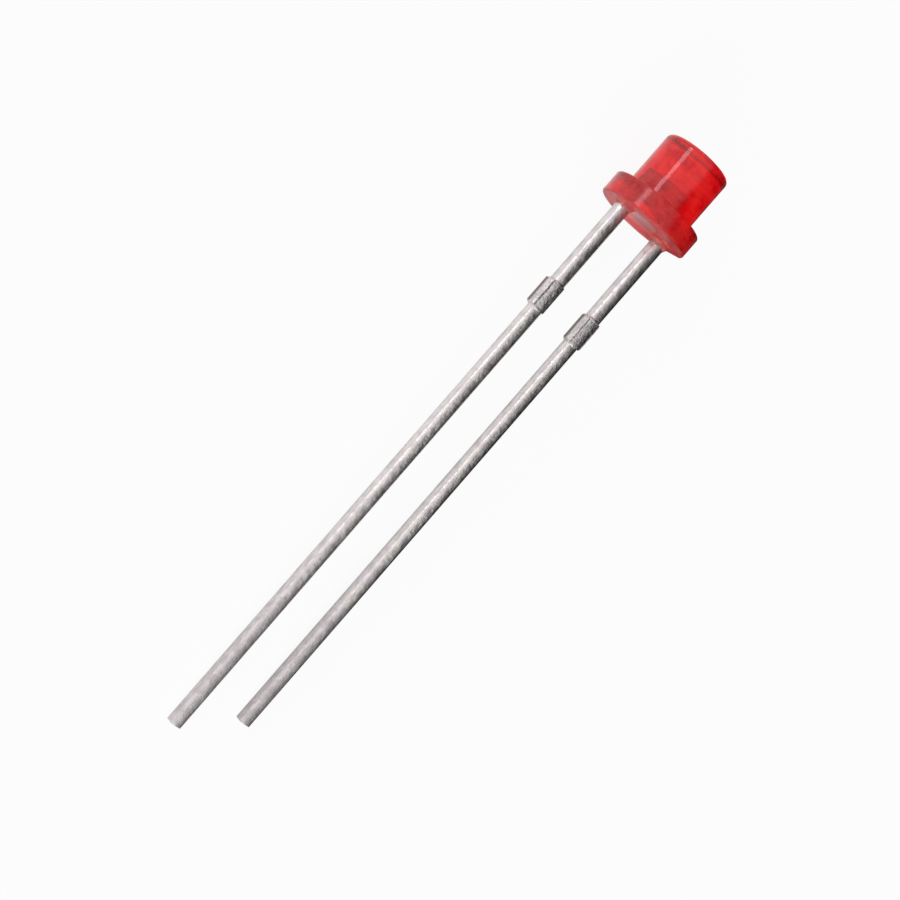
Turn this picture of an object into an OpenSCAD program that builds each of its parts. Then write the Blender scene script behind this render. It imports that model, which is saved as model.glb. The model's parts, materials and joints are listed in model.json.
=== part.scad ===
// Round flat-top LED of the 3 mm size, with two tinned leads.
// The LED is drawn upright about its own axis, with z = 0 at the flange's underside and
// the leads pointing down in the plane y = 0. It is then laid down the way it comes to
// rest: on the flange's rim and the two lead tips, with z = 0 as the surface under it.

/* [Epoxy body] */
// Diameter of the round body
body_d = 3.0; // [2.6:0.05:3.8]
// Height of the flat top above the flange's underside
body_h = 3.4; // [2.6:0.05:5.5]
// Rounding of the top edge
top_edge_r = 0.2; // [0.05:0.01:0.3]
// Least width that the flange stands out from the body
flange_rim = 0.55; // [0.4:0.01:0.8]
// Thickness of the flange
flange_t = 0.95; // [0.8:0.01:1.3]
// Rounding of the flange's two edges
flange_edge_r = 0.08; // [0.03:0.01:0.15]
// Fillet where the body rises from the flange
root_r = 0.1; // [0.04:0.01:0.2]
// How deep the cathode flat cuts into the flange
flat_cut = 0.22; // [0.1:0.01:0.3]
// Height of the epoxy that creeps down each lead
creep_h = 0.22; // [0.1:0.01:0.3]
// Least epoxy outside a lead in the flange
lead_cover = 0.35; // [0.3:0.01:0.6]
// Least epoxy outside the lead frame in the round body
frame_cover = 0.28; // [0.15:0.01:0.35]

/* [Leads] */
// Distance between the two leads' centre lines
lead_pitch = 2.54; // [2.1:0.01:3.2]
// Length of the anode lead below the flange
anode_len = 26.45; // [8:0.05:32]
// Length of the cathode lead below the flange
cathode_len = 24.95; // [7:0.05:30]
// Thickness of the sheet that the lead frame is stamped from
sheet_t = 0.5; // [0.35:0.01:0.6]
// Width of a lead below its tie bar
lead_w = 0.56; // [0.35:0.01:0.62]
// Width of a lead above its tie bar
shank_w = 0.58; // [0.4:0.01:0.66]
// Rounding of the leads' long edges
lead_edge_r = 0.12; // [0.03:0.01:0.16]
// Bevel round each cut lead tip
tip_bevel = 0.05; // [0.02:0.01:0.08]
// Distance from the flange down to the cut tie bar
tie_drop = 4; // [2:0.05:6]
// Height of the cut tie bar along the lead
tie_h = 1.3; // [0.5:0.05:1.5]
// How far the tie bar's stub stands out on the outer side of a lead
tie_out = 0.08; // [0.04:0.01:0.4]
// How far the tie bar's stub stands out between the leads
tie_in = 0.04; // [0.04:0.01:0.3]
// How far the trimming die sat off centre, towards the anode
tie_shift = 0.03; // [0:0.01:0.03]
// Slant at the stub's corners
tie_slant = 0.08; // [0.02:0.01:0.15]

/* [Lead frame inside the epoxy] */
// Height above the underside where the frame starts to step inwards
step_z = 0.3; // [0.15:0.01:0.4]
// Height of the frame's slanted step
step_h = 0.35; // [0.2:0.01:0.4]
// Height of the straight shoulder outside the step
shoulder_h = 0.25; // [0.15:0.01:0.35]
// Outer diameter of the reflector cup on the cathode's anvil
cup_d = 1.0; // [0.85:0.01:1.25]
// Height of the cup's rim above the flange
cup_rise = 0.9; // [0.7:0.01:1.3]
// Depth of the cup
cup_depth = 0.3; // [0.22:0.01:0.4]
// Width of the cup's rim
cup_lip = 0.08; // [0.04:0.01:0.12]
// Metal under the cup's floor
cup_floor_t = 0.2; // [0.1:0.01:0.3]
// How much the cup's outside narrows down to its foot
cup_flare = 0.2; // [0.1:0.01:0.25]
// How much narrower the anvil is than the cup, on each side
anvil_inset = 0.08; // [0:0.01:0.12]
// Gap between the cup and the anode's post
post_gap = 0.16; // [0.1:0.01:0.25]
// How far the post's top lies below the cup's rim
post_drop = 0.1; // [0:0.01:0.2]
// Bevel on the post's outer corner
post_bevel = 0.12; // [0.04:0.01:0.15]

/* [Chip and bond] */
// Width of the square chip
die_w = 0.26; // [0.2:0.01:0.32]
// Height of the chip
die_h = 0.18; // [0.12:0.01:0.22]
// Clearance round the chip on the cup's floor
die_margin = 0.04; // [0.02:0.01:0.06]
// Thickness of the conductive glue under the chip
glue_t = 0.02; // [0.01:0.005:0.04]
// How far the glue climbs up the chip's sides
glue_climb = 0.05; // [0.02:0.01:0.08]
// Width of the glue's upper edge beside the chip
glue_edge = 0.01; // [0.005:0.005:0.02]
// Diameter of the gold pad on the chip
pad_d = 0.11; // [0.08:0.01:0.14]
// Thickness of the gold pad
pad_t = 0.01; // [0.01:0.005:0.02]
// Diameter of the bond wire
wire_d = 0.03; // [0.025:0.005:0.04]
// Diameter of the ball at the wire's first end
ball_d = 0.08; // [0.06:0.01:0.1]
// Height of the flattened ball
ball_h = 0.025; // [0.02:0.005:0.03]
// Diameter of the stitch at the wire's second end
stitch_d = 0.07; // [0.06:0.01:0.09]
// Metal under the wire in the stitch
stitch_t = 0.006; // [0.004:0.001:0.01]
// Radius of the wire's bend
loop_r = 0.14; // [0.08:0.01:0.2]
// Height above the cup's rim where the wire starts to bend
loop_clear = 0.12; // [0.08:0.01:0.2]

/* [Hidden] */
$fn = 96;
lap = 0.05;

body_r = body_d / 2;
lead_x = lead_pitch / 2;
shank_out = lead_x + shank_w / 2;
shank_in = lead_x - shank_w / 2;
flange_r = max(body_r + flange_rim, shank_out + lead_cover);

cup_r = cup_d / 2;
cup_rim_z = flange_t + cup_rise;
cup_floor_z = cup_rim_z - cup_depth;
cup_base_z = cup_floor_z - cup_floor_t;
cup_floor_r = die_w * sqrt(2) / 2 + die_margin;
anvil_r = cup_r - anvil_inset;
post_in = cup_r + post_gap;
post_out = min(body_r - frame_cover, shank_out);
post_z = cup_rim_z - post_drop;
step_top = step_z + step_h;

die_z = cup_floor_z + glue_t;
pad_z = die_z + die_h;
wire_r = wire_d / 2;
wire_z = pad_z + pad_t;

// The bond wire: straight up from the ball, a bend about (-loop_r, bend_z), then a
// straight run, tangent to the bend, down to the stitch on the post. So that the three
// join as one solid, the bend is a little thicker than the straight parts, and they
// reach into it by wire_tuck.
bend_wire_r = wire_r * 1.05;
wire_tuck = wire_r / 2;
bend_z = cup_rim_z + loop_clear;
stitch_x = -(post_in + post_out - post_bevel) / 2;
stitch_h = wire_r + stitch_t;
run_x = stitch_x + loop_r;
run_z = post_z + stitch_h - bend_z;
run_len = sqrt(run_x * run_x + run_z * run_z - loop_r * loop_r);
bend_angle = 360 + atan2(run_z, run_x) - atan2(run_len, loop_r);

// How the LED comes to rest. It touches the surface with each lead's tip, just above the
// bevel, and with the flange's rim. Seen from the lying LED the surface falls by slope
// for each millimetre towards the head, and rises by slope * skew across the leads. The
// slope at which all three touch is found by putting it back into its own formula.
skew = (anode_len - cathode_len) / lead_pitch;
foot_x = lead_w / 2 - lead_edge_r - lead_x;
foot_len = anode_len - tip_bevel;
function rim_reach(s) = (flange_r - flange_edge_r) * sqrt(1 + s * s * skew * skew)
    + flange_edge_r * sqrt(1 + s * s * (1 + skew * skew));
function rest_slope(s, n) = n == 0 ? s : rest_slope((rim_reach(s) - sheet_t / 2)
    / (foot_len + skew * foot_x + flange_edge_r), n - 1);
slope = rest_slope(0, 8);
pitch_angle = atan(slope);
roll_angle = atan(slope * skew / sqrt(1 + slope * slope));
rest_z = (rim_reach(slope) - slope * flange_edge_r)
    / sqrt(1 + slope * slope * (1 + skew * skew));

// Where a point, or a direction, of the upright LED comes to lie
function lie_x(v) = cos(roll_angle) * v[0] + sin(roll_angle) * lie_up(v);
function lie_y(v) = cos(pitch_angle) * v[2] + sin(pitch_angle) * v[1];
function lie_up(v) = sin(pitch_angle) * v[2] - cos(pitch_angle) * v[1];

// How far a disc about the LED's axis reaches along x and y, from its centre
disc_x = sqrt(1 - pow(lie_x([0, 0, 1]), 2));
disc_y = sqrt(1 - pow(lie_y([0, 0, 1]), 2));

// The middle of the space that the lying LED takes up, along x and y
left_x = min(lie_x([0, 0, 0]), lie_x([0, 0, flange_t])) - flange_r * disc_x;
flat_half = sqrt(flange_r * flange_r - pow(flange_r - flat_cut, 2));
right_x = max([for (y = [-1, 1], z = [0, flange_t])
    lie_x([flange_r - flat_cut, y * flat_half, z])]);
head_y = lie_y([0, 0, body_h]) + (body_r - top_edge_r) * disc_y;
tip_y = lie_y([-lead_x, tip_bevel - sheet_t / 2, -anode_len]);
mid_x = (left_x + right_x) / 2;
mid_y = (head_y + tip_y) / 2;

module laid_down() {
    translate([-mid_x, -mid_y, rest_z])
        rotate([0, roll_angle, 0])
            rotate([pitch_angle - 90, 0, 0])
                children();
}

// Stamps an outline drawn in the plane of the leads out of the sheet
module stamped() {
    rotate([90, 0, 0])
        linear_extrude(sheet_t, center = true)
            children();
}

// A rectangle with round corners, centred
module round_rect(w, d, r) {
    square([w - 2 * r, d], center = true);
    square([w, d - 2 * r], center = true);
    for (x = [-1, 1], y = [-1, 1])
        translate([x * (w / 2 - r), y * (d / 2 - r)])
            circle(r);
}

// Half of the case's outline, to be turned about the LED's axis
module case_profile() {
    square([flange_r - flange_edge_r, flange_t]);
    translate([0, flange_edge_r])
        square([flange_r, flange_t - 2 * flange_edge_r]);
    for (z = [flange_edge_r, flange_t - flange_edge_r])
        translate([flange_r - flange_edge_r, z])
            circle(flange_edge_r);
    square([body_r - top_edge_r, body_h]);
    square([body_r, body_h - top_edge_r]);
    translate([body_r - top_edge_r, body_h - top_edge_r])
        circle(top_edge_r);
    difference() {
        translate([body_r - lap, flange_t - lap])
            square(root_r + lap);
        translate([body_r + root_r, flange_t + root_r])
            circle(root_r);
    }
}

// The collar of epoxy that creeps down a lead below the flange
module creep() {
    waist_r = max(shank_w, sheet_t) / 2;
    rotate_extrude()
        difference() {
            translate([0, -creep_h])
                square([waist_r + creep_h, creep_h + flange_edge_r]);
            translate([waist_r + creep_h, -creep_h])
                circle(creep_h);
        }
}

module case_shape() {
    difference() {
        rotate_extrude()
            case_profile();
        translate([flange_r - flat_cut, -flange_r, -lap])
            cube([flange_r, 2 * flange_r, flange_t + 2 * lap]);
    }
    for (x = [-lead_x, lead_x])
        translate([x, 0, 0])
            creep();
}

// A lead from the frame's step down to its tip: the wider shank, the cut tie bar and
// the plain lead. side is -1 for the anode on the left and 1 for the cathode.
module lead(side, length) {
    tie_mid = -(tie_drop + tie_h / 2);
    translate([side * lead_x, 0, 0]) {
        translate([0, 0, tie_mid])
            linear_extrude(step_z + lap - tie_mid)
                round_rect(shank_w, sheet_t, lead_edge_r);
        intersection() {
            translate([0, 0, -length])
                linear_extrude(length + tie_mid)
                    round_rect(lead_w, sheet_t, lead_edge_r);
            stamped()
                bevelled_bar(lead_w, -length, tie_mid);
            rotate([0, 0, 90])
                rotate([90, 0, 0])
                    linear_extrude(lead_w, center = true)
                        bevelled_bar(sheet_t, -length, tie_mid);
        }
        mirror([side < 0 ? 1 : 0, 0, 0])
            stamped()
                tie_stub(tie_out - side * tie_shift, tie_in + side * tie_shift);
    }
}

// The outline of a bar from low to high with its lower end bevelled
module bevelled_bar(w, low, high) {
    polygon([
        [-w / 2, high],
        [-w / 2, low + tip_bevel],
        [tip_bevel - w / 2, low],
        [w / 2 - tip_bevel, low],
        [w / 2, low + tip_bevel],
        [w / 2, high]
    ]);
}

// What the trimming die leaves of the tie bar on both sides of a lead
module tie_stub(outer, inner) {
    top = -tie_drop;
    low = -(tie_drop + tie_h);
    polygon([
        [shank_w / 2, top],
        [-shank_w / 2, top],
        [-shank_w / 2 - inner, top - tie_slant],
        [-shank_w / 2 - inner, low + tie_slant],
        [-lead_w / 2, low],
        [lead_w / 2, low],
        [shank_w / 2 + outer, low + tie_slant],
        [shank_w / 2 + outer, top - tie_slant]
    ]);
}

// The cathode's frame: a slanted arm to the middle and the wide anvil under the cup
module anvil_outline() {
    polygon([
        [shank_in, step_z],
        [shank_out, step_z],
        [shank_out, step_z + shoulder_h],
        [anvil_r, step_top + shoulder_h],
        [anvil_r, cup_base_z + lap],
        [-anvil_r, cup_base_z + lap],
        [-anvil_r, step_top]
    ]);
}

// The anode's frame: a narrow post beside the cup, with its top free for the wire
module post_outline() {
    polygon([
        [-shank_in, step_z],
        [-post_in, step_top],
        [-post_in, post_z],
        [-post_out + post_bevel, post_z],
        [-post_out, post_z - post_bevel],
        [-post_out, step_z + shoulder_h + shank_out - post_out],
        [-shank_out, step_z + shoulder_h],
        [-shank_out, step_z]
    ]);
}

// The coined cup: a flared outside and a cone inside that throws the light forward
module cup() {
    rotate_extrude()
        polygon([
            [0, cup_base_z],
            [cup_r - cup_flare, cup_base_z],
            [cup_r, cup_base_z + cup_floor_t],
            [cup_r, cup_rim_z],
            [cup_r - cup_lip, cup_rim_z],
            [cup_floor_r, cup_floor_z],
            [0, cup_floor_z]
        ]);
}

module cathode_shape() {
    lead(1, cathode_len);
    stamped()
        anvil_outline();
    cup();
}

module anode_shape() {
    lead(-1, anode_len);
    stamped()
        post_outline();
}

module die_shape() {
    translate([-die_w / 2, -die_w / 2, die_z])
        cube([die_w, die_w, die_h]);
}

// The glue lies under the chip and climbs a little up its four sides
module glue_shape() {
    difference() {
        translate([0, 0, cup_floor_z])
            cylinder(h = glue_t + glue_climb, r1 = cup_floor_r, r2 = die_w / 2 + glue_edge);
        die_shape();
    }
}

module pad_shape() {
    translate([0, 0, pad_z])
        cylinder(h = pad_t, d = pad_d);
}

module wire_shape() {
    translate([0, 0, wire_z])
        cylinder(h = ball_h, d = ball_d);
    translate([0, 0, wire_z])
        cylinder(h = bend_z - wire_z + wire_tuck, r = wire_r);
    translate([-loop_r, 0, bend_z])
        rotate([90, 0, 0]) {
            rotate_extrude(angle = bend_angle)
                translate([loop_r, 0])
                    circle(bend_wire_r);
            rotate([0, 0, bend_angle])
                translate([loop_r, 0, 0])
                    rotate([-90, 0, 0]) {
                        translate([0, 0, -wire_tuck])
                            cylinder(h = wire_tuck + run_len, r = wire_r);
                        translate([0, 0, run_len])
                            sphere(wire_r);
                    }
        }
    translate([stitch_x, 0, post_z])
        cylinder(h = stitch_h, d = stitch_d);
}

module epoxy_case() {
    color([0.85, 0.12, 0.14, 0.6])
        laid_down()
            difference() {
                case_shape();
                cathode_shape();
                anode_shape();
                die_shape();
                glue_shape();
                pad_shape();
                wire_shape();
            }
}

module cathode_lead() {
    color("silver")
        laid_down()
            cathode_shape();
}

module anode_lead() {
    color("silver")
        laid_down()
            anode_shape();
}

module led_die() {
    color([0.35, 0.3, 0.32])
        laid_down()
            die_shape();
}

module die_attach() {
    color("lightgray")
        laid_down()
            glue_shape();
}

module bond_pad() {
    color("gold")
        laid_down()
            pad_shape();
}

module bond_wire() {
    color("gold")
        laid_down()
            wire_shape();
}

epoxy_case();
cathode_lead();
anode_lead();
led_die();
die_attach();
bond_pad();
bond_wire();
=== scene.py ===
import json
import math

import bpy
import numpy as np
from mathutils import Euler, Matrix, Vector

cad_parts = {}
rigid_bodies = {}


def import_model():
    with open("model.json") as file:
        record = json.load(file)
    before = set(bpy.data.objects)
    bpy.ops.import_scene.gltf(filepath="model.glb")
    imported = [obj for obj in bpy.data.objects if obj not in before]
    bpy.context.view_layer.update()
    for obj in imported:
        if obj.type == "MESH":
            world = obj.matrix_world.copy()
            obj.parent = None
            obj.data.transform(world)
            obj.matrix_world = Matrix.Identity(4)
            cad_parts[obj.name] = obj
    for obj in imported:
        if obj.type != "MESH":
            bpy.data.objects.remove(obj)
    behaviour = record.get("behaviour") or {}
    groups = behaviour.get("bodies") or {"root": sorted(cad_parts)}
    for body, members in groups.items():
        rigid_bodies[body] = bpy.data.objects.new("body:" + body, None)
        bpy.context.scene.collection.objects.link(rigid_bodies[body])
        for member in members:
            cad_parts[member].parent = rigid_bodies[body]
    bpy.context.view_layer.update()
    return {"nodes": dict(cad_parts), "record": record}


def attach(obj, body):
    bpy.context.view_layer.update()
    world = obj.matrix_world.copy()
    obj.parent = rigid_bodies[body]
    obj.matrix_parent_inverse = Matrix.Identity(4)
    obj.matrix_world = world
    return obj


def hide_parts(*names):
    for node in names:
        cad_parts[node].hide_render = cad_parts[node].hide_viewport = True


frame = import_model()
nodes = frame["nodes"]
mounts = {m["name"]: m for m in frame["record"]["mounts"]}
mm = 0.001

# The LED's own frame, from its mounts: z runs along the body to the flat top, x from the
# long lead to the short one, and y = 0 is the plane of both leads. y points down here.
ledZ = Vector(mounts["lens_barrel"]["axis"]).normalized()
ledX = Vector((ledZ.z, 0, -ledZ.x)).normalized()
ledY = ledZ.cross(ledX)
ledOrigin = Vector(mounts["lead_pair"]["pos_m"])
ledTurn = Matrix((ledX, ledY, ledZ)).transposed()
bodyTop = (Vector(mounts["lens_face"]["pos_m"]) - ledOrigin).dot(ledZ) / mm
barrelRadius = mounts["lens_barrel"]["dims"]["r_mm"]
print("frame: body is %.2f mm high, radius %.2f mm" % (bodyTop, barrelRadius))


def toRow(points):  # the LED's frame in mm to the row's frame in metres
    return points @ np.array(ledTurn).T * mm + np.array(ledOrigin)


def toLed(points):  # and back
    return (points - np.array(ledOrigin)) @ np.array(ledTurn) / mm


def nodePoints(name):  # a CAD node's points in the LED's frame
    mesh = nodes[name].data
    flat = np.empty(len(mesh.vertices) * 3)
    mesh.vertices.foreach_get("co", flat)
    return toLed(flat.reshape(-1, 3))


objectOutput = 3  # Texture Coordinate's output for a place on the object


class Wire:
    # one output of a node; + - * and abs on wires and numbers add Math nodes
    def __init__(self, tree, socket):
        self.tree, self.socket = tree, socket

    # a new node; a value's key is a socket's name, or pin and its number
    def node(self, kind, settings=None, **values):
        n = self.tree.nodes.new(kind)
        for name, value in (settings or {}).items():
            setattr(n, name, value)
        for name, value in values.items():
            key = int(name[3:]) if name.startswith("pin") else name.replace("_", " ")
            slot = n.inputs[key]
            if isinstance(value, Wire):
                self.tree.links.new(value.socket, slot)
            else:
                slot.default_value = value
        return n

    def out(self, kind, settings=None, output=0, **values):
        return Wire(self.tree, self.node(kind, settings, **values).outputs[output])

    def maths(self, operation, *values):
        pins = {"pin%d" % i: v for i, v in enumerate(values)}
        return self.out("ShaderNodeMath", {"operation": operation}, **pins)

    def __add__(self, other):
        return self.maths("ADD", self, other)

    def __radd__(self, other):
        return self.maths("ADD", other, self)

    def __sub__(self, other):
        return self.maths("SUBTRACT", self, other)

    def __rsub__(self, other):
        return self.maths("SUBTRACT", other, self)

    def __mul__(self, other):
        return self.maths("MULTIPLY", self, other)

    def __rmul__(self, other):
        return self.maths("MULTIPLY", other, self)

    def __abs__(self):
        return self.maths("ABSOLUTE", self)

    def clamped(self):
        return self.maths("MAXIMUM", 0.0, self.maths("MINIMUM", 1.0, self))

    def least(self, other):
        return self.maths("MINIMUM", self, other)

    def most(self, other):
        return self.maths("MAXIMUM", self, other)

    # 0 at low and 1 at high, smooth between and level beyond; low may be the larger
    def rise(self, low, high):
        return self.out("ShaderNodeMapRange", {"interpolation_type": "SMOOTHSTEP"},
                        Value=self, From_Min=low, From_Max=high)

    # colour a where the wire is 0, colour b where it is 1: Mix has its factor on pin 0, its
    # colours on pins 6 and 7 and the colour it gives on output 2
    def between(self, a, b):
        return self.out("ShaderNodeMix", {"data_type": "RGBA"}, 2, pin0=self, pin6=a, pin7=b)

    def axes(self):
        parts = self.node("ShaderNodeSeparateXYZ", Vector=self)
        return [Wire(self.tree, o) for o in parts.outputs]

    def scaled(self, factors):
        return self.out("ShaderNodeVectorMath", {"operation": "MULTIPLY"}, pin0=self, pin1=factors)

    # scale is one number, or one for each axis
    def noise(self, scale, detail, roughness=0.55, distortion=0.0):
        if isinstance(scale, tuple):
            return self.scaled(scale).noise(1.0, detail, roughness, distortion)
        return self.out("ShaderNodeTexNoise", Vector=self, Scale=scale, Detail=detail,
                        Roughness=roughness, Distortion=distortion)

    def bump(self, strength, distance):
        return self.out("ShaderNodeBump", Strength=strength, Distance=distance, Height=self)


# a material with one Principled shader; gives the material, the shader and a wire that
# holds places in the LED's own frame in mm
def newMaterial(name):
    material = bpy.data.materials.new(name)
    material.use_nodes = True
    tree = material.node_tree
    shader = tree.nodes["Principled BSDF"]
    start = Wire(tree, None)
    place = start.out("ShaderNodeTexCoord", output=objectOutput)
    back = ledTurn.inverted()
    turned = start.out("ShaderNodeMapping", {"vector_type": "POINT"}, Vector=place,
                       Location=tuple(-(back @ ledOrigin) / mm),
                       Rotation=tuple(back.to_euler("XYZ")), Scale=(1 / mm,) * 3)
    return material, shader, turned


# sets the shader's sockets, or links wires to them; a key is a socket's name
def setShader(shader, **values):
    for name, value in values.items():
        slot = shader.inputs[name.replace("_", " ")]
        if isinstance(value, Wire):
            value.tree.links.new(value.socket, slot)
        else:
            slot.default_value = value


def wear(node, material):  # a CAD node with this material all over
    mesh = nodes[node].data
    mesh.materials.clear()
    mesh.materials.append(material)


# in mm: half the leads' spacing, and half a lead's width and thickness under the body
leadFromAxis = 1.27
leadHalf = (0.29, 0.25)

epoxy = {
    "flangeHeight": 0.95,
    "edgeRound": 0.08,         # both edges of the flange
    "topRound": 0.2,
    "rootRound": 0.1,
    "creepHeight": 0.22,       # how far the epoxy wets each lead
    "creepReach": 0.2,
    "dishDepth": 0.08,         # the open side of the mould sets a little hollow
    "columns": 288,
    # how many rows of points each stretch of the outline has
    "rows": {"top": 13, "topRound": 12, "wall": 10, "root": 9, "edge": 9, "side": 6,
             "rim": 4, "wetted": 89, "middle": 23},
    "crowding": 0.3,           # how much the columns crowd towards the leads
    "wetOverlap": 0.02,        # the epoxy starts its curve this far inside a lead's edge
    "drawnIn": 8,              # how soon the underside's rows follow the flat, as a power
    "clear": 0.87,             # the rest of the light is scattered by the dye
    "dye": (0.98, 0.11, 0.11, 1),
    "thickDye": (0.64, 0.015, 0.04, 1),
    # on the underside the red is paler than on the moulded sides: painted light on the underside
    "pouredDye": (0.97, 0.24, 0.26, 1),
    "paleDye": (1.0, 0.66, 0.56, 1),  # where it is a thin skin, and painted highlight where the epoxy meets the leads and in patches on the underside
    "absorbed": (30, 1500, 1400),  # how strongly red, green and blue are taken up, per metre
    "density": 2000,           # the node's own scale for them, more than any of the three
    "ripple": 0.018,           # heights of the moulded skin's waves and grain, and of the
    "grain": 0.001,            # waves where it was poured
    "pouredRipple": 0.05,
    "gloss": 0.02,             # roughness, and what scuffs, pouring and the flange's side add
    "scuffed": 0.06,
    "pouredRough": 0.3,
    "flangeRough": 0.15,
    "ior": 1.53,
    "specular": 0.35,
    # noise patterns: scale, detail, roughness and distortion
    "waves": (0.9, 2.0),
    "grains": (9.0, 2.0),
    "pouredWaves": (2.6, 3.0, 0.6),
    "scuffs": (26.0, 5.0, 0.6),
    "clouds": (1.7, 2.5, 0.6, 0.5),
    "skins": (1.4, 3.0, 0.6),
    # where each comes in and is full, as values of its noise and then as heights
    "scuffRise": (0.58, 0.75),
    "cloudRise": (0.30, 0.60),
    "skinRise": (0.5, 0.6),
    "pouredRise": (0.05, 0.02),
    "sideRise": (1.0, 0.92),
    "collarRise": (-0.02, -0.1),
}
casePoints = nodePoints("epoxy_case")
flangeRadius = float(np.hypot(casePoints[:, 0], casePoints[:, 1]).max())
flatFromAxis = float(casePoints[:, 0].max())  # the cathode flat on the flange


# part of a circle: centre + radius (cos a, sin a), with a from start to end in degrees
def arc(centreR, centreZ, radius, start, end, count):
    a = np.radians(np.linspace(start, end, count))
    return np.stack([centreR + radius * np.cos(a), centreZ + radius * np.sin(a)], 1)


def stretch(first, last, count):  # evenly spaced, without first and with last
    return np.linspace(first, last, count + 1)[1:]


# The body's outline from the middle of the flat top to the middle of the underside, in
# rows of (r, z, inset, under): inset is how far inside the flange's flat a row is cut, and
# under is 1 on the underside.
def epoxyOutline(e):
    edge, flangeH, rows = e["edgeRound"], e["flangeHeight"], e["rows"]
    top, wall, root = e["topRound"], barrelRadius, e["rootRound"]
    topRadii = np.linspace(0, wall - top, rows["top"] + 1)[:-1]
    wallHeights = np.linspace(bodyTop - top, flangeH + root, rows["wall"] + 2)[1:-1]
    upper = np.vstack([
        np.stack([topRadii, np.full_like(topRadii, bodyTop)], 1),
        arc(wall - top, bodyTop - top, top, 90, 0, rows["topRound"]),
        np.stack([np.full_like(wallHeights, wall), wallHeights], 1),
        arc(wall + root, flangeH + root, root, 180, 270, rows["root"]),
    ])
    upper = np.column_stack([upper, np.full(len(upper), edge)])
    a = np.radians(np.linspace(90, 0, rows["edge"]))
    shoulder = np.stack([flangeRadius - edge + edge * np.cos(a),
                         flangeH - edge + edge * np.sin(a), edge - edge * np.cos(a)], 1)
    sideHeights = np.linspace(flangeH - edge, edge, rows["side"] + 2)[1:-1]
    side = np.stack([np.full_like(sideHeights, flangeRadius), sideHeights,
                     np.zeros_like(sideHeights)], 1)
    foot = shoulder[::-1] * (1, -1, 1) + (0, flangeH, 0)
    inner = leadFromAxis - leadHalf[0] - e["creepReach"]
    outer = leadFromAxis + leadHalf[0] + e["creepReach"]
    radii = np.concatenate([stretch(flangeRadius - edge, outer, rows["rim"]),
                            stretch(outer, inner, rows["wetted"]),
                            stretch(inner, 0, rows["middle"])])
    below = np.stack([radii, np.zeros_like(radii), np.full_like(radii, edge)], 1)
    outline = np.vstack([upper, shoulder, side, foot, below])
    return np.column_stack([outline, np.arange(len(outline)) >= len(outline) - len(below)])


# How far the underside hangs down at a place: a wetting curve that falls off as
# (1 - distance / reach) cubed from each lead's rectangle, less a hollow that is deepest in
# the middle and goes with (1 - (r / rim) squared) squared, where rim is the flange's radius
# less its rounding.
def undersideDrop(x, y, e):
    drop = np.zeros_like(x)
    for side in (-1, 1):
        dx = np.abs(x - side * leadFromAxis) - leadHalf[0] + e["wetOverlap"]
        dy = np.abs(y) - leadHalf[1] + e["wetOverlap"]
        dx, dy = np.maximum(dx, 0), np.maximum(dy, 0)
        near = np.clip(1 - np.hypot(dx, dy) / e["creepReach"], 0, 1)
        drop = np.maximum(drop, e["creepHeight"] * near ** 3)
    rim = flangeRadius - e["edgeRound"]
    hollow = np.clip(1 - (x ** 2 + y ** 2) / rim ** 2, 0, 1) ** 2
    return drop - e["dishDepth"] * hollow


# A mesh from an array rows x columns x 3 that closes round its columns and has all points
# of its first row and of its last row in one place each
def closedGrid(points, name):
    rows, columns = points.shape[:2]
    body = points[1:-1].reshape(-1, 3)
    vertices = np.vstack([points[:1, 0], body, points[-1:, 0]])
    at = 1 + np.arange((rows - 2) * columns).reshape(rows - 2, columns)
    after = np.roll(at, -1, axis=1)
    quads = np.stack([at[:-1], at[1:], after[1:], after[:-1]], 2).reshape(-1, 4)
    first = np.stack([np.zeros(columns, int), at[0], after[0]], 1)
    last = np.stack([np.full(columns, len(vertices) - 1), after[-1], at[-1]], 1)
    mesh = bpy.data.meshes.new(name)
    mesh.from_pydata(vertices.tolist(), [], quads.tolist() + first.tolist() + last.tolist())
    mesh.polygons.foreach_set("use_smooth", np.ones(len(mesh.polygons), bool))
    mesh.update()
    piece = bpy.data.objects.new(name, mesh)
    bpy.context.scene.collection.objects.link(piece)
    return piece


# Turns the outline about the axis: a point is (r cos a, r sin a, z). On the flange r is cut
# to the flat, to (flat - inset) / cos a, where cos a is kept at leastFacing or more, so that
# only the flat's side is cut. On the underside r is drawn in by what the rim loses there
# times a power of r / rim, so that no two rows fall together, and z follows undersideDrop.
def makeEpoxy(e):
    outline = epoxyOutline(e)
    step = 2 * np.pi * np.arange(e["columns"]) / e["columns"]
    angle = step - e["crowding"] * np.sin(2 * step)
    r, z, inset, under = (outline[:, i][:, None] for i in range(4))
    leastFacing = 0.3
    flat = (flatFromAxis - inset) / np.maximum(np.cos(angle), leastFacing)
    rim = flangeRadius - e["edgeRound"]
    drawnIn = r - (r / rim) ** e["drawnIn"] * (rim - np.minimum(rim, flat))
    onFlange = np.where(under > 0, drawnIn, np.minimum(r, flat))
    rounding = 1e-6  # so that the flange's top edge counts as flange
    r = np.where(z <= e["flangeHeight"] + rounding, onFlange, r)
    x, y = r * np.cos(angle), r * np.sin(angle)
    z = z - under * undersideDrop(x, y, e)
    return closedGrid(toRow(np.stack([x, y, z], 2)), "epoxyBody")


epoxyBody = makeEpoxy(epoxy)
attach(epoxyBody, "root")
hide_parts("epoxy_case")

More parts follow.
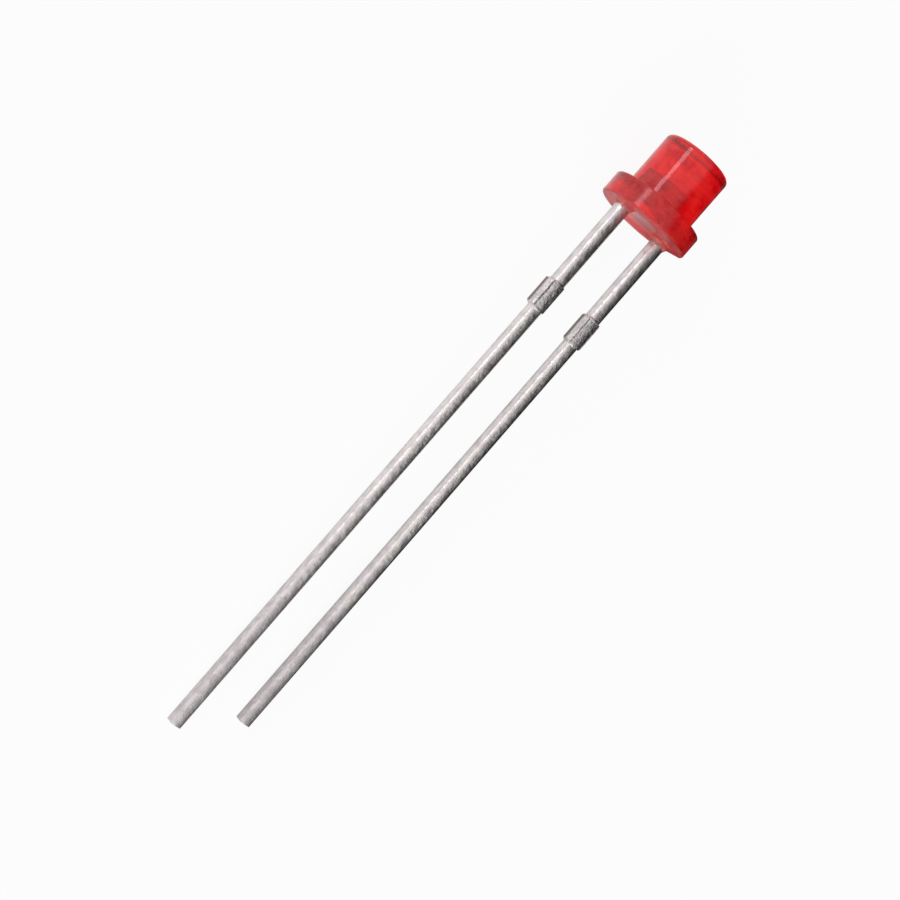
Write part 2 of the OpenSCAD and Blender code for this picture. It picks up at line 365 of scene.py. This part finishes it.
redEpoxy, shader, place = newMaterial("redEpoxy")
z = place.axes()[2]
poured = z.rise(*epoxy["pouredRise"])  # the underside set in the open air, not in the mould
ripple = (place.noise(*epoxy["waves"]) * epoxy["ripple"]
          + place.noise(*epoxy["grains"]) * epoxy["grain"]
          + poured * place.noise(*epoxy["pouredWaves"]) * epoxy["pouredRipple"])
scuffs = place.noise(*epoxy["scuffs"]).rise(*epoxy["scuffRise"])
clouds = place.noise(*epoxy["clouds"]).rise(*epoxy["cloudRise"])
flangeSide = z.rise(*epoxy["sideRise"])
collar = z.rise(*epoxy["collarRise"])  # the thin epoxy on the leads
# pale where the epoxy wets the leads and in patches on the underside: partly a thin skin of epoxy,
# partly painted highlight
skinAndHighlight = (poured * place.noise(*epoxy["skins"]).rise(*epoxy["skinRise"])).most(collar)
tint = clouds.between(epoxy["thickDye"], epoxy["dye"])
# painted light: the underside gets the paler red
tint = poured.between(tint, epoxy["pouredDye"])
tint = skinAndHighlight.between(tint, epoxy["paleDye"])
setShader(shader, Base_Color=tint, Transmission_Weight=epoxy["clear"],
          IOR=epoxy["ior"], Specular_IOR_Level=epoxy["specular"],
          Roughness=epoxy["gloss"] + epoxy["scuffed"] * scuffs + epoxy["pouredRough"] * poured
          + epoxy["flangeRough"] * flangeSide,
          Normal=ripple.bump(1.0, mm))
letThrough = tuple(1 - a / epoxy["density"] for a in epoxy["absorbed"])
absorption = place.node("ShaderNodeVolumeAbsorption", Density=epoxy["density"],
                        Color=letThrough + (1,))
volume = redEpoxy.node_tree.nodes["Material Output"].inputs["Volume"]
redEpoxy.node_tree.links.new(absorption.outputs[0], volume)
epoxyBody.data.materials.append(redEpoxy)
print("epoxy body: %d faces, flange radius %.2f mm" % (len(epoxyBody.data.polygons), flangeRadius))


leads = {
    "tin": (0.84, 0.785, 0.79, 1),
    "creamTin": (0.85, 0.815, 0.76, 1),
    "dullTin": (0.58, 0.535, 0.545, 1),
    "silverPlate": (0.93, 0.90, 0.87, 1),  # what the epoxy covers was never tinned
    # bare steel where the cut tore, painted darker than bare steel as shade on the lower side of
    # the cut ends
    "fracture": (0.30, 0.26, 0.24, 1),
    "tieTop": -4.0,
    "tieFoot": -5.3,
    "tieOuter": 1.64,   # the cut ends of the tie bar, from a line tieShift off the axis
    "tieInner": 0.94,
    "tieShift": 0.03,
    "pillow": 0.9,      # how the tin bulges on each face: height lost per mm squared
    "shine": 0.24,      # roughness near the body, and what handling adds at the tips
    "handled": 0.14,
    "dullRough": 0.1,   # what dull patches, the grain, a torn face and the plate add to it
    "grainRough": 0.08,
    "tornRough": 0.3,
    "plateRough": 0.35,
    "streakHeight": 0.002,
    "grainHeight": 0.0005,
    "cloudHeight": 0.05,
    "mottleHeight": 0.03,
    "stubHeight": 0.05,
    "tieFade": 0.05,    # how softly the tie bar's own finish starts and ends
    "cutFade": (0.02, 0.005),  # where a cut end's colour starts and is full, inside its edge
    "tornRise": (0.06, 0.12),  # shearing leaves the upper part of the cut bright and tears the lower rest, which is also painted dark as shade
    "insideRise": (-0.05, 0.05),  # heights at which the epoxy's cover, and the dullness
    "tipRise": (-14.0, -24.0),    # towards the tips, start and are full
    "plateMatt": 0.9,   # the plate in the epoxy scatters light, where the tin mirrors it
    # noise patterns: scale, detail, roughness and distortion; streaks run along the lead
    "streaks": ((14.0, 14.0, 0.9), 4.0, 0.6, 0.4),
    "grains": ((60.0, 60.0, 4.0), 3.0, 0.6),
    "clouds": (1.1, 3.0, 0.6),
    "specks": (7.0, 4.0, 0.65),
    "mottle": ((5.0, 5.0, 2.5), 4.0, 0.7),
    "creams": (2.4, 3.0, 0.6),
    # the values of each noise at which it comes in and is full
    "cloudRise": (0.42, 0.66),
    "streakRise": (0.5, 0.7),
    "mottleRise": (0.45, 0.6),
    "speckRise": (0.45, 0.6),
    "creamRise": (0.44, 0.62),
    # how much each dulls the tin, 1 being all the way to dullTin
    "cloudDulls": 0.2,
    "streakDulls": 0.2,
    "mottleDulls": 0.5,
    "speckDulls": 0.6,
    "tipDulls": 0.5,
}

tinned, shader, place = newMaterial("tinnedSteel")
x, y, z = place.axes()
streaks, grain, cloud, specks, mottle, cream = [
    place.noise(*leads[kind])
    for kind in ("streaks", "grains", "clouds", "specks", "mottle", "creams")]
toTip = z.rise(*leads["tipRise"])
tieStart = z.rise(leads["tieFoot"] - leads["tieFade"], leads["tieFoot"])
tieEnd = z.rise(leads["tieTop"] + leads["tieFade"], leads["tieTop"])
tie = tieStart * tieEnd
fromMiddle = abs(abs(x) - leadFromAxis).least(leadHalf[0])
bulge = leads["pillow"] * (fromMiddle * fromMiddle + y * y)
sideways = abs(x + leads["tieShift"])
start, full = leads["cutFade"]
cut = tie * (sideways.rise(leads["tieOuter"] - start, leads["tieOuter"] - full)
             + sideways.rise(leads["tieInner"] + start, leads["tieInner"] + full))
# the lower part of each cut end: torn steel, and painted shade
tornAndShaded = cut * y.rise(*leads["tornRise"])
inside = z.rise(*leads["insideRise"])
dull = (cloud.rise(*leads["cloudRise"]) * leads["cloudDulls"]
        + streaks.rise(*leads["streakRise"]) * leads["streakDulls"]
        + toTip * leads["tipDulls"]
        + mottle.rise(*leads["mottleRise"]) * leads["mottleDulls"]
        + tie * specks.rise(*leads["speckRise"]) * leads["speckDulls"]).clamped()
tint = cream.rise(*leads["creamRise"]).between(leads["tin"], leads["creamTin"])
tint = dull.between(tint, leads["dullTin"])
tint = inside.between(tint, leads["silverPlate"])
tint = tornAndShaded.between(tint, leads["fracture"])
height = (streaks * leads["streakHeight"] + grain * leads["grainHeight"]
          + cloud * leads["cloudHeight"] + mottle * leads["mottleHeight"]
          + tie * specks * leads["stubHeight"] - bulge)
setShader(shader, Base_Color=tint, Metallic=1 - leads["plateMatt"] * inside,
          Roughness=leads["shine"] + leads["handled"] * toTip + leads["dullRough"] * dull
          + leads["grainRough"] * grain + leads["tornRough"] * tornAndShaded
          + leads["plateRough"] * inside,
          Normal=height.bump(1.0, mm))
for name in ("anode_lead", "cathode_lead"):
    wear(name, tinned)
print("leads: tinned")


bond = {
    "chip": {"dark": (0.16, 0.11, 0.11, 1), "light": (0.24, 0.17, 0.16, 1),
             "noise": (30.0, 3.0), "rough": 0.25, "rougher": 0.2, "metallic": 0.2},
    "silverGlue": {"dark": (0.40, 0.39, 0.37, 1), "light": (0.78, 0.77, 0.75, 1),
                   "noise": (45.0, 4.0, 0.7), "rough": 0.35, "rougher": 0.3, "metallic": 0.7,
                   "flakeRise": (0.35, 0.65), "flakeHeight": 0.006, "flakeStrength": 0.5},
    "gold": {"dark": (0.86, 0.62, 0.25, 1), "light": (0.95, 0.74, 0.38, 1),
             "noise": (20.0, 2.0), "rough": 0.18, "rougher": 0.12, "metallic": 1.0},
}


# Noise takes a substance from its dark colour to its light one and makes it rougher. Where
# it has flakes, the light ones are set off and stand out.
def coat(substance, pieces):
    s = bond[substance]
    material, shader, place = newMaterial(substance)
    grain = place.noise(*s["noise"])
    setShader(shader, Roughness=s["rough"] + s["rougher"] * grain, Metallic=s["metallic"])
    light = grain
    if "flakeRise" in s:
        light = grain.rise(*s["flakeRise"])
        setShader(shader, Normal=grain.bump(s["flakeStrength"], s["flakeHeight"] * mm))
    setShader(shader, Base_Color=light.between(s["dark"], s["light"]))
    for piece in pieces:
        wear(piece, material)


coat("chip", ("led_die",))
coat("silverGlue", ("die_attach",))
coat("gold", ("bond_pad", "bond_wire"))
print("chip and bond: done")


stage = {
    "floorHalf": 1.2,       # metres
    "floorColour": (0.93, 0.93, 0.935, 1),
    "floorSeen": 0.92,      # how much plain white is mixed into the floor for the eye
    "floorThrough": 0.93,   # and for what is seen through the epoxy
    "floorInMetal": 0.9,    # how bright metal sees the floor at -x, and the painted shade that darkens it at +x in metal only, and the metres of x over which that shade comes in
    "floorDim": 0.96,       # at +x, and the metres of x over which that comes in
    "floorFade": (-0.001, 0.004),
    "allRound": 0.28,       # the room's brightness, and what its pale parts add to it: the
    "leftHalf": 0.45,       # half at -x, and the walls at -x and -y
    "leftWall": 0.45,
    "frontWall": 0.7,
    "brightest": 0.95,
    "greyCard": 0.82,       # what a grey card at +x and +y and a dark one low down at +x
    "darkCard": 0.97,       # take off, which gives the metal its edges
    "roomSeen": 0.97,       # the room to the eye, past the part or through the epoxy
    # the shares of a direction along x, y or z at which each of these starts and is full
    "leftHalfX": (0.38, -0.05),
    "leftWallX": (-0.55, -0.95),
    "frontWallY": (0.1, -0.35),
    "greyCardY": (-0.17, 0.06),
    "greyCardX": (0.1, 0.4),
    "darkCardZ": (0.7, 0.4),
    "darkCardX": (0.4, 0.6),
}


def makeFloor(s):  # a flat square at z = 0 under the part
    h = s["floorHalf"]
    mesh = bpy.data.meshes.new("floor")
    mesh.from_pydata([(-h, -h, 0), (h, -h, 0), (h, h, 0), (-h, h, 0)], [], [(0, 1, 2, 3)])
    piece = bpy.data.objects.new("floor", mesh)
    bpy.context.scene.collection.objects.link(piece)
    material = bpy.data.materials.new("paleFloor")
    material.use_nodes = True
    tree = material.node_tree
    tree.nodes.clear()
    start = Wire(tree, None)
    rays = start.node("ShaderNodeLightPath")
    eye, gloss, through = [Wire(tree, rays.outputs["Is %s Ray" % kind])
                           for kind in ("Camera", "Glossy", "Transmission")]
    gloss = gloss * (1 - through)
    # painted shade: metal sees the floor darker at +x, the side away from the key lamp, as if the
    # part shaded it there
    shadedSide = start.out("ShaderNodeTexCoord", output=objectOutput).axes()[0]
    shadedSide = shadedSide.rise(*s["floorFade"])
    glowWithPaintedShade = 1 - gloss * (1 - s["floorInMetal"] * (1 - s["floorDim"] * shadedSide))
    plain = start.out("ShaderNodeBsdfDiffuse", Color=s["floorColour"])
    glow = start.out("ShaderNodeEmission", Color=glowWithPaintedShade, Strength=1.0)
    share = (eye * s["floorSeen"]).most(through * s["floorThrough"]).most(gloss)
    both = start.out("ShaderNodeMixShader", pin0=share, pin1=plain, pin2=glow)
    start.node("ShaderNodeOutputMaterial", Surface=both)
    mesh.materials.append(material)


makeFloor(stage)

world = bpy.data.worlds.new("studio")
world.use_nodes = True
bpy.context.scene.world = world
looking = Wire(world.node_tree, None).out("ShaderNodeTexCoord")
x, y, z = looking.axes()
pale = (stage["allRound"] + stage["leftHalf"] * x.rise(*stage["leftHalfX"])
        + stage["leftWall"] * x.rise(*stage["leftWallX"])
        + stage["frontWall"] * y.rise(*stage["frontWallY"])).least(stage["brightest"])
greyCard = stage["greyCard"] * y.rise(*stage["greyCardY"]) * x.rise(*stage["greyCardX"])
darkCard = stage["darkCard"] * z.rise(*stage["darkCardZ"]) * x.rise(*stage["darkCardX"])
room = pale * (1 - greyCard) * (1 - darkCard)
rays = looking.node("ShaderNodeLightPath")
eye, through = [Wire(world.node_tree, rays.outputs["Is %s Ray" % kind])
                for kind in ("Camera", "Transmission")]
seen = eye.most(through)
strength = room * (1 - seen) + stage["roomSeen"] * seen
background = world.node_tree.nodes["Background"]
background.inputs["Color"].default_value = (1, 1, 1, 1)
world.node_tree.links.new(strength.socket, background.inputs["Strength"])

# each lamp: the side it stands on, its distance and size in metres, how bright its face
# looks (1 is white) and its colour
lamps = {
    "keyLamp": {"toward": (-0.92, 0.2, 0.3), "distance": 0.4, "size": (0.20, 0.08),
                "brightness": 3.2, "colour": (1.0, 0.89, 0.97)},
    "topLamp": {"toward": (0.1, -0.8, 0.6), "distance": 0.4, "size": (0.20, 0.20),
                "brightness": 1.5, "colour": (1.0, 1.0, 1.0)},
}


# a lamp that faces the origin; its power is pi times its area times its brightness
def addLamp(name, given):
    wide, high = given["size"]
    lamp = bpy.data.lights.new(name, "AREA")
    lamp.shape, lamp.size, lamp.size_y = "RECTANGLE", wide, high
    lamp.energy = math.pi * wide * high * given["brightness"]
    lamp.color = given["colour"]
    holder = bpy.data.objects.new(name, lamp)
    bpy.context.scene.collection.objects.link(holder)
    side = Vector(given["toward"]).normalized()
    holder.location = side * given["distance"]
    holder.rotation_euler = side.to_track_quat("Z", "Y").to_euler()


for name, given in lamps.items():
    addLamp(name, given)
print("stage: floor, world and lamps")


view = {
    "place": (-42.153, -4.812, 58.301),     # mm
    "turn": (-22.3499, -29.9876, 45.8252),  # degrees
    "lens": 73.127,
    "sensor": 36,
    "clip": (0.002, 10),                    # metres
}
camera = bpy.data.cameras.new("camera")
camera.lens, camera.sensor_width = view["lens"], view["sensor"]
camera.clip_start, camera.clip_end = view["clip"]
cameraHolder = bpy.data.objects.new("camera", camera)
bpy.context.scene.collection.objects.link(cameraHolder)
cameraHolder.location = Vector(view["place"]) * mm
cameraHolder.rotation_euler = Euler([math.radians(a) for a in view["turn"]])
bpy.context.scene.camera = cameraHolder
bpy.context.scene.view_settings.view_transform = "Standard"
